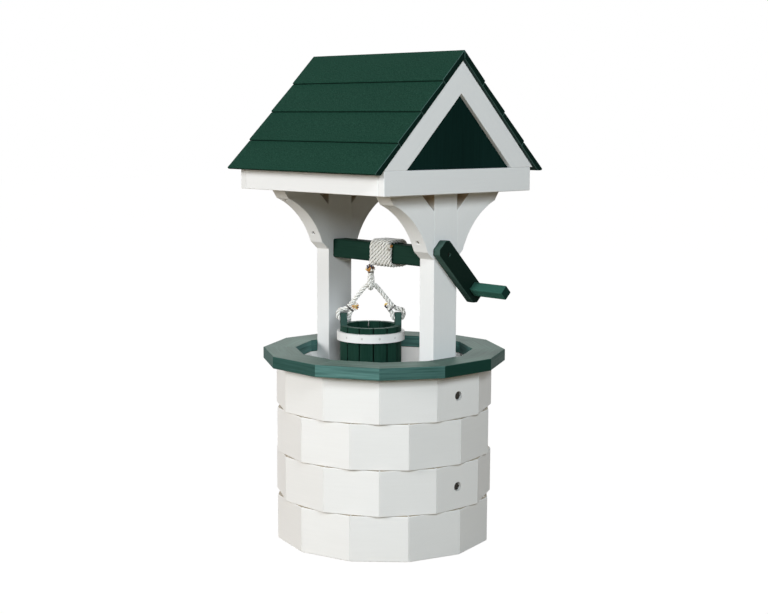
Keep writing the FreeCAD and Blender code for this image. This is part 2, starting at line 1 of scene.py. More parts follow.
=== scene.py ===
# %% [markdown]
# Wishing-well planter. A twelve-sided ring of white plastic lumber carries two posts and a small
# green roof. Between the posts a square bar winds up a rope, and a bucket hangs from the rope.
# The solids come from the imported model, which fixes every size. This script gives the parts their
# real surfaces: eased edges, laid rope, grain and sheen. Lengths are in metres, +Z is up, and the
# origin lies on the ground under the middle of the ring.

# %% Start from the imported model
import json
import math

import bmesh
import bpy
from mathutils import Matrix, Vector
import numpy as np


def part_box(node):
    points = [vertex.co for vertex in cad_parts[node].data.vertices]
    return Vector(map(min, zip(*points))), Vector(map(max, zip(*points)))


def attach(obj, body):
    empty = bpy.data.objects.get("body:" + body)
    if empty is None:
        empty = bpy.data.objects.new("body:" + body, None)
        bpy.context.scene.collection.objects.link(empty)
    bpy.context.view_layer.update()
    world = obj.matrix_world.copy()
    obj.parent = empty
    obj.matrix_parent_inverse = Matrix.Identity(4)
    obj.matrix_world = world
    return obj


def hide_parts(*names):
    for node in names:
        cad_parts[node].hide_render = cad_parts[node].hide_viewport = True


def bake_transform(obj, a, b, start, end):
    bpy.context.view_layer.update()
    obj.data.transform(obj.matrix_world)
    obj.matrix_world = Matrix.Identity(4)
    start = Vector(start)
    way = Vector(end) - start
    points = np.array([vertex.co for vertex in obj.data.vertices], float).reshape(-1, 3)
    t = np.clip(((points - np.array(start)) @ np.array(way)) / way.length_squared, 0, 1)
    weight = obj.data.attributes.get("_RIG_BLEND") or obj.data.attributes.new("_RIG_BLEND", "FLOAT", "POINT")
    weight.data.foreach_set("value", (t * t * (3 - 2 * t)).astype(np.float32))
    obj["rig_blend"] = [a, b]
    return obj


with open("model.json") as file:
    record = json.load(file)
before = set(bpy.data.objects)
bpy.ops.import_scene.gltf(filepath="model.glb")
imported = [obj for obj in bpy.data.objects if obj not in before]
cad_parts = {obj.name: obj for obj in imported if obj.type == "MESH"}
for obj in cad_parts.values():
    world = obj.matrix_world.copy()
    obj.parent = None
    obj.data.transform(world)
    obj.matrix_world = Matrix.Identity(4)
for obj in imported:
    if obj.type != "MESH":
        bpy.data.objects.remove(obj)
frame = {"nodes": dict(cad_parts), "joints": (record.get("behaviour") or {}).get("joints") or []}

MM = 0.001
along_x, along_y, upward = (1, 0, 0), (0, 1, 0), (0, 0, 1)


def new_object(name, data):
    """An object of that mesh, lamp or camera, put into the scene."""
    made = bpy.data.objects.new(name, data)
    bpy.context.scene.collection.objects.link(made)
    return made


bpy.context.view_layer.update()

# %% [markdown]
# The camera stands where the photograph was taken and faces the corner between the crank side
# and the near eave. A long lens from almost three metres keeps upright edges nearly parallel.

# %% Camera
camera_place = Vector((2.0885, -1.9504, 0.8359))
camera_heading = 46.96
camera_pitch = 7.452
camera_roll = 0.232
focal_pixels = 1437.16
photo_wide = 768
sensor_wide = 36.0


def turned(degrees, axis):
    return Matrix.Rotation(math.radians(degrees), 4, axis)


lens = bpy.data.cameras.new("photo_camera")
lens.sensor_width = sensor_wide
lens.lens = sensor_wide * focal_pixels / photo_wide
lens.clip_start = 0.05
lens.clip_end = 100.0
camera = new_object("photo_camera", lens)
aim = turned(camera_heading, "Z") @ turned(90 - camera_pitch, "X") @ turned(camera_roll, "Z")
camera.matrix_world = Matrix.Translation(camera_place) @ aim
bpy.context.scene.camera = camera
camera_axes = camera.matrix_world.to_3x3()
print("camera looks along", [round(v, 4) for v in camera_axes @ Vector((0, 0, -1))])
print("camera's right is", [round(v, 4) for v in camera_axes @ Vector((1, 0, 0))])

# %% [markdown]
# A material is a tree of nodes, whose inputs take a number, a colour or another node's output.
# A few functions that accept all three keep the trees short.

# %% Nodes
def new_material(name):
    material = bpy.data.materials.new(name)
    material.use_nodes = True
    return material, material.node_tree, material.node_tree.nodes["Principled BSDF"]


def feed(socket, value):
    """Links an output to the input, or sets the input to a number, a vector or a colour."""
    if isinstance(value, bpy.types.NodeSocket):
        socket.id_data.links.new(value, socket)
    elif hasattr(value, "__len__") and len(value) == 3 and len(socket.default_value) == 4:
        socket.default_value = (*value, 1.0)
    else:
        socket.default_value = value


def feed_all(node, **values):
    """Feeds inputs by name, with an underscore for each space."""
    for name, value in values.items():
        feed(node.inputs[name.replace("_", " ")], value)
    return node


def add_node(at, kind, **values):
    """Adds a node to a tree, or to the tree that a given output belongs to."""
    return feed_all(at.id_data.nodes.new(f"ShaderNode{kind}"), **values)


def arithmetic(kind, operation, values):
    made = add_node(values[0], kind)
    made.operation = operation
    for socket, value in zip(made.inputs, values):
        feed(socket, value)
    return made.outputs


def calculate(operation, *values):
    return arithmetic("Math", operation, values)["Value"]


def multiply(first, second):
    return calculate("MULTIPLY", first, second)


def on_vectors(operation, *values):
    return arithmetic("VectorMath", operation, values)["Vector"]


def agreement(*directions):
    """1 where two directions are the same and -1 where they are opposite."""
    return arithmetic("VectorMath", "DOT_PRODUCT", directions)["Value"]


def is_seen(tree):
    """1 where the ray comes from the camera or by way of a mirror or glass, and 0 elsewhere."""
    path = add_node(tree, "LightPath").outputs
    seen = calculate("MAXIMUM", path["Is Camera Ray"], path["Is Glossy Ray"])
    return calculate("MAXIMUM", seen, path["Is Transmission Ray"])


print("node helpers ready")

# %% [markdown]
# The floor and the backdrop are only a pale sheet for the object to stand on. A lamp can't make
# them white without bleaching the white lumber too, so the camera, and whatever mirrors them, sees
# them brighter than they are. The object's shadow stays on the floor, but soft.

# %% Floor and world
floor_wide = 30.0
floor_colour = (0.26, 0.205, 0.125)
floor_rough = 0.9
floor_veil = 0.94
veil_strength = 1.06
sky_level = 0.015
white_light = (1.0, 1.0, 1.0)

bpy.ops.mesh.primitive_plane_add(size=floor_wide, location=(0, 0, 0))
floor = bpy.context.object
floor.name = "floor"
floor_look, tree, shader = new_material("pale_floor")
feed_all(shader, Base_Color=floor_colour, Roughness=floor_rough)
veil = add_node(tree, "Emission", Color=white_light, Strength=veil_strength)
mixed = add_node(tree, "MixShader", Fac=multiply(is_seen(tree), floor_veil))
feed(mixed.inputs[1], shader.outputs[0])
feed(mixed.inputs[2], veil.outputs[0])
feed(tree.nodes["Material Output"].inputs["Surface"], mixed.outputs[0])
floor.data.materials.append(floor_look)

world = bpy.data.worlds.new("studio")
bpy.context.scene.world = world
world.use_nodes = True
tree = world.node_tree
level = add_node(tree, "MapRange", Value=is_seen(tree), To_Min=sky_level, To_Max=1.0)
feed_all(tree.nodes["Background"], Color=white_light, Strength=level.outputs[0])
print("floor reaches", floor.dimensions.x, "m, sky level", sky_level)

# %% [markdown]
# In the photograph the near eave side is bright, the crank side is a cool grey, and the shade
# under the coping and the beams is short and brown. Two low lamps light the eave side, and two
# cooler ones the crank side. They are small enough to leave an edge to the shade, and far enough
# away to light the bottom of the well like its top. The floor is darker and warmer than the
# camera sees it, because what it throws back up is all that lights the shade. A last lamp stands
# behind the well, for the faces that the camera doesn't see.

# %% Lamps
well_middle = Vector((0.0, 0.0, 0.45))
lamp_distance = 5.5
cool_light = (0.86, 0.945, 1.0)


def soft_lamp(name, azimuth, height, power, colour, size=1.4):
    """A round softbox on a sphere about the well; azimuth and height are in degrees."""
    lamp = bpy.data.lights.new(name, "AREA")
    lamp.shape = "DISK"
    lamp.size = size
    lamp.energy = power
    lamp.color = colour
    holder = new_object(name, lamp)
    turn, lift = math.radians(azimuth), math.radians(height)
    level = math.cos(lift)
    out = Vector((level * math.cos(turn), level * math.sin(turn), math.sin(lift)))
    holder.location = well_middle + out * lamp_distance
    holder.rotation_euler = (-out).to_track_quat("-Z", "Y").to_euler()
    return holder


lamps = [
    soft_lamp("low_eave_lamp", -107, 12, 97.0, white_light),
    soft_lamp("eave_side_lamp", -107, 22, 94.0, white_light),
    soft_lamp("crank_side_lamp", -38, 18, 92.0, cool_light),
    soft_lamp("gable_side_lamp", -20, 32, 116.0, cool_light),
    soft_lamp("far_side_lamp", 140, 35, 94.0, white_light, size=3.2),
]
print("lamps:", {holder.name: holder.data.energy for holder in lamps})

# %% [markdown]
# Plastic lumber is pressed through a die, so its long edges come out rounded and its faces have a
# fine skin with faint streaks along the length. The streaks have to turn with each board, so each
# board remembers its own directions in an attribute, which its material reads.

# %% Small helpers for working on one piece at a time
sharp_turn = math.radians(30)
shortest_edge = 4.0 * MM
rounding_steps = 3


def take_up(piece):
    bpy.ops.object.select_all(action="DESELECT")
    piece.select_set(True)
    bpy.context.view_layer.objects.active = piece


def ease_edges(piece, width, wanted=None):
    """Rounds the sharp edges, apart from short ones, which are the rims of screw holes."""
    take_up(piece)
    bpy.ops.object.mode_set(mode="EDIT")
    bpy.context.tool_settings.mesh_select_mode = (False, True, False)
    bpy.ops.mesh.select_all(action="DESELECT")
    shape = bmesh.from_edit_mesh(piece.data)
    picked = [edge for edge in shape.edges
              if len(edge.link_faces) == 2 and edge.calc_length() >= shortest_edge
              and edge.calc_face_angle() > sharp_turn and (wanted is None or wanted(edge))]
    for edge in picked:
        edge.select_set(True)
    shape.select_flush_mode()
    bmesh.update_edit_mesh(piece.data)
    if picked:
        bpy.ops.mesh.bevel(offset=width, segments=rounding_steps, clamp_overlap=True)
    bpy.ops.object.mode_set(mode="OBJECT")


def keep_flats_flat(piece, angle=35.0):
    """Smooth across the rounded edges, while the faces beside them stay flat."""
    take_up(piece)
    bpy.ops.object.shade_smooth_by_angle(angle=math.radians(angle))
    weigh = piece.modifiers.new("flat_faces", "WEIGHTED_NORMAL")
    weigh.keep_sharp = True
    bpy.ops.object.modifier_apply(modifier=weigh.name)


def remember(piece, name, values, kind="FLOAT"):
    """Keeps a number or a vector for each point of the mesh, for its material to read."""
    layers = piece.data.attributes
    layer = layers.get(name) or layers.new(name, kind, "POINT")
    layer.data.foreach_set("value" if kind == "FLOAT" else "vector", values)


def remember_grain(piece, along, shift=0.0):
    """Each point's place in the board's own directions, its length first."""
    first = Vector(along).normalized()
    side = Vector(along_x if abs(first.z) >= 0.9 else upward)
    second = first.cross(side).normalized()
    third = first.cross(second)
    values = [vertex.co.dot(way) + shift
              for vertex in piece.data.vertices for way in (first, second, third)]
    remember(piece, "grain", values, "FLOAT_VECTOR")


def finish_piece(piece, material, body, slot, *nodes):
    """Gives the piece its material, puts it on its body and lets it stand for its CAD nodes."""
    piece.data.materials.clear()
    piece.data.materials.append(material)
    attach(piece, body)
    if nodes:
        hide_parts(*nodes)
    print(f"{piece.name}: {len(piece.data.polygons)} faces")


print("piece helpers ready")

# %% [markdown]
# White plastic lumber is nearly plain: a satin white skin with slow, faint changes of tone and a
# fine pebble that only the highlights show. Two noises make it, a stretched one along the board
# for the streaks and a fine even one for the pebble. Points that lie in a joint carry a mark, and
# there the lumber takes a brown painted shade.

# %% White lumber
# Brown painted shade for the joints between the courses of the ring.
joint_shade_tone = (0.50, 0.43, 0.33)
streak_scale = (14.0, 260.0, 260.0)
slow_scale = (3.0, 12.0, 12.0)
even_scale = (1.0, 1.0, 1.0)
fine_scale = 900.0
streak_depth = 0.5 * MM
pebble_depth = 0.2 * MM
mix_share, mix_first, mix_second, mix_colour = 0, 6, 7, 2


def attribute(tree, name):
    made = add_node(tree, "Attribute")
    made.attribute_name = name
    return made.outputs


def coordinates(tree, kind="Object"):
    return add_node(tree, "TexCoord").outputs[kind]


def split_vector(vector):
    return add_node(vector, "SeparateXYZ", Vector=vector).outputs


def along_grain(tree, scale):
    """The board's own coordinates, stretched along the board."""
    place = attribute(tree, "grain")["Vector"]
    return add_node(tree, "Mapping", Vector=place, Scale=scale).outputs[0]


def noise(vector, scale, detail=2.0, roughness=0.5):
    made = add_node(vector, "TexNoise", Vector=vector, Scale=scale, Detail=detail,
                    Roughness=roughness)
    return made.outputs["Fac"]


def remap(value, low, high, to_low=0.0, to_high=1.0):
    made = add_node(value, "MapRange", Value=value, From_Min=low, From_Max=high, To_Min=to_low,
                    To_Max=to_high)
    return made.outputs[0]


def spread(value, to_low=0.0, to_high=1.0):
    """Noise hardly leaves 0.3 to 0.7, so this range is spread out over the one that is asked."""
    return remap(value, 0.3, 0.7, to_low, to_high)


def blend_colours(share, first, second):
    """A Mix node has sockets for every kind of value, so those for colours go by number."""
    made = add_node(share, "Mix")
    made.data_type = "RGBA"
    feed(made.inputs[mix_share], share)
    feed(made.inputs[mix_first], first)
    feed(made.inputs[mix_second], second)
    return made.outputs[mix_colour]


def relief(height, strength, depth, below=None):
    """Bump of that depth, laid over another if there is one."""
    made = add_node(height, "Bump", Height=height, Strength=strength, Distance=depth)
    if below is not None:
        feed(made.inputs["Normal"], below)
    return made.outputs[0]


def lumber(name, dark, light, shine, streak=0.3, pebble=0.5, rough=0.6,
           pebble_scale=fine_scale, mottle=0.0):
    """Plastic lumber between two tones, with streaks along it and a pebbled skin."""
    material, tree, shader = new_material(name)
    streaks = noise(along_grain(tree, streak_scale), 1.0, 4.0, 0.6)
    slow = noise(along_grain(tree, slow_scale), 1.0)
    skin = noise(along_grain(tree, even_scale), pebble_scale)
    tone = multiply(calculate("ADD", streaks, slow), 0.5 * (1 - mottle))
    tone = calculate("ADD", tone, multiply(skin, mottle))
    clean = blend_colours(remap(tone, 0.36, 0.64), dark, light)
    bumped = relief(streaks, streak, streak_depth)
    # The base colour turns to the brown painted shade where a point lies in a joint.
    feed_all(shader, Specular_IOR_Level=shine,
             Base_Color=blend_colours(attribute(tree, "seam")["Fac"], clean, joint_shade_tone),
             Roughness=spread(streaks, rough - 0.06, rough + 0.06),
             Normal=relief(skin, pebble, pebble_depth, bumped))
    return material


def white_plastic(name, dark=(0.855, 0.853, 0.845), light=(0.875, 0.875, 0.868)):
    return lumber(name, dark, light, shine=0.12, streak=0.02, pebble=0.2, rough=0.45)


white_lumber = white_plastic("white_lumber")
# The ring and the bucket's hoops take a warmer copy of the white: painted warm light that offsets the cool
# lamps on them.
ring_white = white_plastic("ring_white", (0.870, 0.856, 0.836), (0.890, 0.878, 0.860))
# The eave beams take a lighter copy of the white: painted light that lifts the shade of the roof's edge on
# them.
beam_white = white_plastic("beam_white", (0.905, 0.905, 0.900), (0.925, 0.925, 0.922))
inner_lumber = lumber("inner_lumber", (0.66, 0.62, 0.53), (0.72, 0.69, 0.60), shine=0.3,
                      streak=0.1, pebble=0.3, rough=0.5)
print("white lumber:", [m.name for m in bpy.data.materials])

# %% [markdown]
# The inner corner of each bracket is cut off, which leaves a small gap beside the head of the
# post. The faces round that gap get a tan painted shade, more so towards its top, where the beam
# shades them. So a tint picks them by where they look and how high they lie.

# %% The gaps at the heads of the posts
# Tan painted shade for the faces round the gaps under the beams.
painted_gap_shade = (0.58, 0.45, 0.31)
gap_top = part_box("post_right")[1].z
gap_shade_begins, gap_shade_is_full = 35.0 * MM, 12.0 * MM
gap_heights = (gap_top - gap_shade_begins, gap_top - gap_shade_is_full)
square_on = (0.90, 0.97)
diagonal = 0.7071


def base_colour(material):
    """The material's tree, the socket of its colour and what feeds that so far."""
    tree = material.node_tree
    socket = tree.nodes["Principled BSDF"].inputs["Base Color"]
    return tree, socket, socket.links[0].from_socket


def tint_by_facing(material, way, low, high, colour, both_ways=True, heights=None):
    """Paints a tint, here mostly painted light and shade, on the faces that look along a direction,
    such as sawn ends: not at all where they agree with it by low, and fully by high."""
    tree, socket, before = base_colour(material)
    along = agreement(coordinates(tree, "Normal"), way)
    if both_ways:
        along = calculate("ABSOLUTE", along)
    share = remap(along, low, high)
    if heights:
        height = split_vector(coordinates(tree))["Z"]
        share = multiply(share, remap(height, *heights))
    feed(socket, blend_colours(share, before, colour))


def bracket_look(name, side_y):
    look = white_plastic(name)
    cut_corner = (0, -diagonal * side_y, diagonal)
    tint_by_facing(look, cut_corner, *square_on, painted_gap_shade, both_ways=False, heights=gap_heights)
    return look


bracket_looks = {"front": bracket_look("bracket_white", -1),
                 "back": bracket_look("bracket_white_back", 1)}
post_white = white_plastic("post_white")
tint_by_facing(post_white, along_y, *square_on, painted_gap_shade, heights=gap_heights)
print("tan between", [round(height / MM, 1) for height in gap_heights], "mm")

# %% [markdown]
# The green lumber is the same plastic, but each part of the well shows it differently. The roof
# boards are evenly pebbled, the coping and the bar are streaked like brushed wood, and the gables
# and the bucket are nearly black in the shade of the roof.

# %% Green lumber
bucket_axis = sum(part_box("bucket_hoop_upper"), Vector()) / 2
ears_turn = math.radians(322.5)
across_ears = (math.cos(ears_turn), math.sin(ears_turn), 0)
bucket_tones = (0.005, 0.028, 0.018), (0.013, 0.048, 0.033)


def roof_slope_look(name, side_y):
    """Pebbled boards, with painted shade on the butts and ends, a painted highlight on the
    eased end edges, and a greyer underside.
    """
    look = lumber(name, (0.007, 0.034, 0.022), (0.017, 0.062, 0.041), shine=0.02, streak=0.05,
                  pebble=0.9, rough=0.7, pebble_scale=420.0, mottle=0.8)
    butt_shade_way, underside = (0, 0.7 * side_y, -0.7), (0, -0.7 * side_y, -0.7)
    # Painted highlight on the eased end edges, and painted shade on the ends and on the butts of the laps.
    tint_by_facing(look, along_x, 0.2, 0.45, (0.060, 0.115, 0.100))
    tint_by_facing(look, along_x, 0.75, 0.95, (0.0042, 0.0155, 0.0115))
    tint_by_facing(look, butt_shade_way, *square_on, (0.0065, 0.021, 0.015), both_ways=False)
    tint_by_facing(look, underside, *square_on, (0.034, 0.061, 0.055), both_ways=False)
    return look


def edges_round(material, middle, stave_highlight, deep):
    """On boards that stand in a circle, a painted highlight beside each joint and painted shade in it."""
    tree, socket, before = base_colour(material)
    away = on_vectors("SUBTRACT", coordinates(tree), middle)
    level = on_vectors("MULTIPLY", away, (1, 1, 0))
    outward = agreement(on_vectors("NORMALIZE", level), coordinates(tree, "Normal"))
    outside = remap(outward, 0.10, 0.20)
    # line is the painted highlight on the rounded edge, and joint the painted shade further in.
    line = multiply(remap(outward, 0.925, 0.960, 1.0, 0.0), outside)
    joint = multiply(remap(outward, 0.84, 0.92, 1.0, 0.0), outside)
    with_line = blend_colours(line, before, stave_highlight)
    feed(socket, blend_colours(joint, with_line, deep))


roof_looks = {"front": roof_slope_look("roof_green", -1),
              "back": roof_slope_look("roof_green_back", 1)}
panel_green = lumber("panel_green", (0.0035, 0.0140, 0.0115), (0.0055, 0.0210, 0.0175),
                     shine=0.01, pebble=0.4)
bar_green = lumber("bar_green", (0.008, 0.031, 0.021), (0.014, 0.043, 0.030), shine=0.03)
# The crank arm's own tone is a painted highlight, kept on its narrow eased faces; the broad faces, which
# look along X, are tinted dark.
arm_green = lumber("arm_green", (0.040, 0.080, 0.066), (0.058, 0.104, 0.088), shine=0.03)
tint_by_facing(arm_green, along_x, 0.70, 0.93, (0.0045, 0.0140, 0.0100))
handle_green = lumber("handle_green", (0.022, 0.085, 0.065), (0.032, 0.110, 0.084), shine=0.05)
tint_by_facing(handle_green, along_x, 0.6, 0.9, (0.004, 0.026, 0.020))
bucket_green = lumber("bucket_green", *bucket_tones, shine=0.05, streak=0.5, pebble=0.4)
# Painted highlights and shade at the joints between the staves.
edges_round(bucket_green, bucket_axis, (0.026, 0.080, 0.058), (0.0010, 0.0040, 0.0025))
# The tops of the staves and of the bottom get a painted highlight.
tint_by_facing(bucket_green, upward, 0.6, 0.9, (0.070, 0.120, 0.100), both_ways=False)
ear_green = lumber("ear_green", *bucket_tones, shine=0.05, streak=0.5, pebble=0.4)
# The tops of the ears get a painted highlight too.
tint_by_facing(ear_green, upward, 0.6, 0.9, (0.060, 0.110, 0.095), both_ways=False)
# The side faces of the ears, which look across them, get painted light.
tint_by_facing(ear_green, across_ears, 0.80, 0.96, (0.045, 0.098, 0.082))
print("bucket axis in mm:", [round(v / MM, 1) for v in bucket_axis])

# %% [markdown]
# The coping carries a painted reflection: a thin pale sheen that lies along the streaks, mostly
# on top, and some boards have much more of it than others. How much is a number that each board
# carries, and the material mixes the sheen over the deep green by that number. On top the boards
# are more alike.

# %% Weathered coping
coping_streak_scale = (9.0, 330.0, 330.0)
coping_patch_scale = (5.0, 30.0, 30.0)
sheen_on_top = 0.60
own_share_on_top = 0.4


def coping_material(name, deep, sheen_tone, top_sheen_tone):
    material, tree, shader = new_material(name)
    streaks = noise(along_grain(tree, coping_streak_scale), 1.0, 4.0, 0.65)
    slow = noise(along_grain(tree, coping_patch_scale), 1.0, 3.0)
    skin = noise(along_grain(tree, even_scale), fine_scale)
    on_top = remap(agreement(coordinates(tree, "Normal"), upward), 0.5, 0.9)
    own = multiply(attribute(tree, "chalk")["Fac"],
                    remap(on_top, 0.0, 1.0, 1.0, own_share_on_top))
    amount = calculate("ADD", own, multiply(on_top, sheen_on_top))
    patchy = multiply(remap(streaks, 0.32, 0.68, 0.45, 1.35),
                       spread(slow, 0.75, 1.15))
    share = calculate("MINIMUM", multiply(amount, patchy), 1.0)
    sheen_colour = blend_colours(on_top, sheen_tone, top_sheen_tone)
    bumped = relief(streaks, 0.5, streak_depth)
    feed_all(shader, Base_Color=blend_colours(share, deep, sheen_colour),
             Roughness=spread(streaks, 0.44, 0.58), Specular_IOR_Level=0.06,
             Normal=relief(skin, 0.3, pebble_depth, bumped))
    return material


# A painted reflection, paler on the sides and greyer on top, over the deep green.
coping_green = coping_material("coping_green", (0.004, 0.034, 0.024), (0.115, 0.250, 0.230),
                               (0.150, 0.235, 0.195))
print("green lumber:", [m.name for m in bpy.data.materials if "green" in m.name])

# %% [markdown]
# Screws, bolts and washers are zinc-plated steel: smooth, bright and slightly mottled. The bolts
# and washers sit deep in counterbores, so they are nearly black, painted shade of their holes,
# and the crank's screws take the same dark steel.

# %% Steel
cloud_scale = 220.0


def metal(name, dark, light, rough):
    material, tree, shader = new_material(name)
    place = coordinates(tree)
    cloud = noise(place, cloud_scale, 3.0)
    feed_all(shader, Base_Color=blend_colours(cloud, dark, light), Metallic=1.0,
             Roughness=spread(cloud, rough - 0.08, rough + 0.08),
             Normal=relief(noise(place, fine_scale), 0.2, 0.1 * MM))
    return material


zinc = metal("zinc", (0.20, 0.18, 0.15), (0.36, 0.33, 0.28), 0.38)
dark_steel = metal("dark_steel", (0.05, 0.05, 0.055), (0.11, 0.10, 0.10), 0.5)
# Nearly black steel: painted shade for bolt heads deep in their holes.
bolt_steel = metal("bolt_steel", (0.010, 0.010, 0.010), (0.060, 0.055, 0.045), 0.4)
print("steel:", zinc.name, dark_steel.name, bolt_steel.name)

# %% [markdown]
# One block of the ring is a length of lumber with both ends cut to fifteen degrees. It is modelled
# once, on the +X side, and copied round. The alternate courses are turned by half a block, so
# their corners stand over the middle of the blocks below.

# %% A block of the ring
sides = 12
facet = 2 * math.pi / sides
spare_length = 1.2
ring_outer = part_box("course_1")[1].x
coping_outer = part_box("coping_ring")[1].x
post_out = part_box("post_right")[1].x


def ring_block(name, outer, inner, low, high):
    """One side of a twelve-sided ring, on +X: a board that is too long, sawn to its mitres."""
    reach = outer * math.tan(facet / 2) * spare_length
    low, high = Vector((inner, -reach, low)), Vector((outer, reach, high))
    bpy.ops.mesh.primitive_cube_add(size=1.0, location=(low + high) / 2, scale=high - low)
    piece = bpy.context.object
    piece.name = name
    bpy.ops.object.transform_apply()
    for side in (-1, 1):
        away = (-math.sin(facet / 2), math.cos(facet / 2) * side, 0)
        bpy.ops.object.mode_set(mode="EDIT")
        bpy.ops.mesh.select_all(action="SELECT")
        bpy.ops.mesh.bisect(plane_co=(0, 0, 0), plane_no=away, use_fill=True, clear_outer=True)
        bpy.ops.object.mode_set(mode="OBJECT")
    return piece


def turned_copy(piece, name, angle, shift):
    """A copy turned about the well's axis, with its streaks shifted, so that no two are alike."""
    made = new_object(name, piece.data.copy())
    remember_grain(made, along_y, shift)
    made.data.transform(Matrix.Rotation(angle, 4, "Z"))
    return made


def joined(name, pieces):
    bpy.ops.object.select_all(action="DESELECT")
    for piece in pieces:
        piece.select_set(True)
    bpy.context.view_layer.objects.active = pieces[0]
    bpy.ops.object.join()
    made = bpy.context.object
    made.name = name
    made.data.name = name
    return made


print("ring reaches", round(ring_outer / MM, 2), "mm")

# %% The four courses
block_ease = 1.6 * MM
joint_gap = 0.12 * MM
counterbore = 18.0 * MM
counterbore_floor = ring_outer - 10.0 * MM
hole_sides = 48
block_shift, course_shift = 0.37, 1.3


def round_hole(piece, across, start, end):
    """Drills along X, from one x to another, at the height of the piece's middle."""
    middle = sum((Vector(corner) for corner in piece.bound_box), Vector()) / 8
    bpy.ops.mesh.primitive_cylinder_add(vertices=hole_sides, radius=across / 2,
                                        depth=abs(end - start),
                                        location=((start + end) / 2, 0, middle.z),
                                        rotation=(0, math.pi / 2, 0))
    drill = bpy.context.object
    cut = piece.modifiers.new("hole", "BOOLEAN")
    cut.operation = "DIFFERENCE"
    cut.object = drill
    take_up(piece)
    bpy.ops.object.modifier_apply(modifier=cut.name)
    bpy.data.objects.remove(drill)


for row in range(4):
    node = f"course_{row + 1}"
    low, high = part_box(node)
    block = ring_block("block", ring_outer, post_out, low.z + joint_gap, high.z - joint_gap)
    ease_edges(block, block_ease)
    # The points on the top and bottom faces of each block carry the painted shade of the joints.
    remember(block, "seam", [
        float(min(vertex.co.z - low.z, high.z - vertex.co.z) < 2 * joint_gap)
        for vertex in block.data.vertices])
    turn = facet / 2 if row % 2 else 0.0
    copies = []
    for side in range(sides):
        shift = block_shift * side + course_shift * row
        made = turned_copy(block, f"block_{row}_{side}", turn + side * facet, shift)
        if row % 2 == 0 and side % 6 == 0:
            way = 1 if side == 0 else -1
            round_hole(made, counterbore, way * counterbore_floor, way * (ring_outer + counterbore))
        copies.append(made)
    bpy.data.objects.remove(block)
    course = joined(f"ring_{node}", copies)
    keep_flats_flat(course)
    finish_piece(course, ring_white, "well", "white_lumber", node)

# %% The coping
coping_ease = 2.0 * MM
board_shift = 0.53
# How much painted reflection each board carries, and its inner face more.
sheen_by_side = [0.0, 0.05, 0.15, 0.05, 0.25, 0.15, 0.25, 0.35, 0.18, 0.21, 0.82, 0.56]
inner_sheen = 0.45


def lies_along(edge):
    """Picks the long edges of a board, so its mitred joints stay tight and hardly show."""
    return edge.verts[0].co.y * edge.verts[1].co.y < 0


low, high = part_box("coping_ring")
board = ring_block("board", coping_outer, post_out, low.z + joint_gap, high.z)
ease_edges(board, coping_ease, wanted=lies_along)
sheen_inside = [inner_sheen if vertex.co.x < post_out + joint_gap else 0.0
                for vertex in board.data.vertices]
copies = []
for side, chalk in enumerate(sheen_by_side):
    made = turned_copy(board, f"board_{side}", side * facet, board_shift * side)
    remember(made, "chalk", [chalk + extra for extra in sheen_inside])
    copies.append(made)
bpy.data.objects.remove(board)
coping = joined("coping", copies)
keep_flats_flat(coping)
finish_piece(coping, coping_green, "well", "coping_green", "coping_ring")

# %% [markdown]
# The posts, brackets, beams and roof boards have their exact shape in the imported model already,
# with every screw hole. So each is a copy of its solid: the loose triangles are merged, a face
# that two solids share is taken out, flat faces are made whole, and then the edges are eased as
# a router would do it, all but the rims of the holes.

# %% Eased copies of the solids
merge_within = 0.005 * MM
flat_within = math.radians(0.5)
near_joint = 0.5 * MM
shut_gap = 0.01 * MM


def shut_joints(piece, board_wide):
    """Moves the long edges of upright boards side by side together until they almost touch."""
    for vertex in piece.data.vertices:
        joint = round(vertex.co.y / board_wide) * board_wide
        if abs(vertex.co.y - joint) < near_joint:
            vertex.co.y = joint + math.copysign(shut_gap, vertex.co.y - joint)


def dress(node, name, ease, along, material, slot, body="well", crease=35.0, broad=0.0,
          where=None, only=None, board_wide=0.0):
    """Puts a copy with eased edges in place of a CAD solid. Edges that where picks are eased
    more broadly, and then the rest, or those that only picks, by ease in mm."""
    piece = new_object(name, frame["nodes"][node].data.copy())
    take_up(piece)
    bpy.ops.object.mode_set(mode="EDIT")
    bpy.ops.mesh.select_all(action="SELECT")
    bpy.ops.mesh.remove_doubles(threshold=merge_within)
    bpy.ops.mesh.select_all(action="DESELECT")
    bpy.ops.mesh.select_interior_faces()
    bpy.ops.mesh.delete(type="FACE")
    bpy.ops.mesh.select_all(action="SELECT")
    bpy.ops.mesh.dissolve_limited(angle_limit=flat_within)
    bpy.ops.object.mode_set(mode="OBJECT")
    if board_wide:
        shut_joints(piece, board_wide)
    if broad:
        ease_edges(piece, broad, wanted=where)
    ease_edges(piece, ease * MM, wanted=only)
    keep_flats_flat(piece, crease)
    remember_grain(piece, along)
    finish_piece(piece, material, body, slot, node)


def off_the_ridge(edge):
    """Leaves the joint between two rakes sharp, because the photograph shows no line there."""
    return max(abs(vertex.co.y) for vertex in edge.verts) > 0.5 * MM


for word in ("right", "left"):
    dress(f"post_{word}", f"{word}_post", 2.2, upward, post_white, "white_lumber")
    for beam in ("gable_beam", "head_rail"):
        dress(f"{beam}_{word}", f"{word}_{beam}", 1.6, along_y, white_lumber, "white_lumber")
    for eave, side_y in (("front", -1), ("back", 1)):
        dress(f"bracket_{word}_{eave}", f"{word}_{eave}_bracket", 1.2, (0, side_y, 1),
              bracket_looks[eave], "white_lumber", crease=14.0)
        dress(f"rake_{word}_{eave}", f"{word}_{eave}_rake", 1.2, (0, side_y, -1),
              white_lumber, "white_lumber", only=off_the_ridge)
for eave in ("front", "back"):
    dress(f"eave_beam_{eave}", f"{eave}_eave_beam", 1.6, along_x, beam_white, "white_lumber")

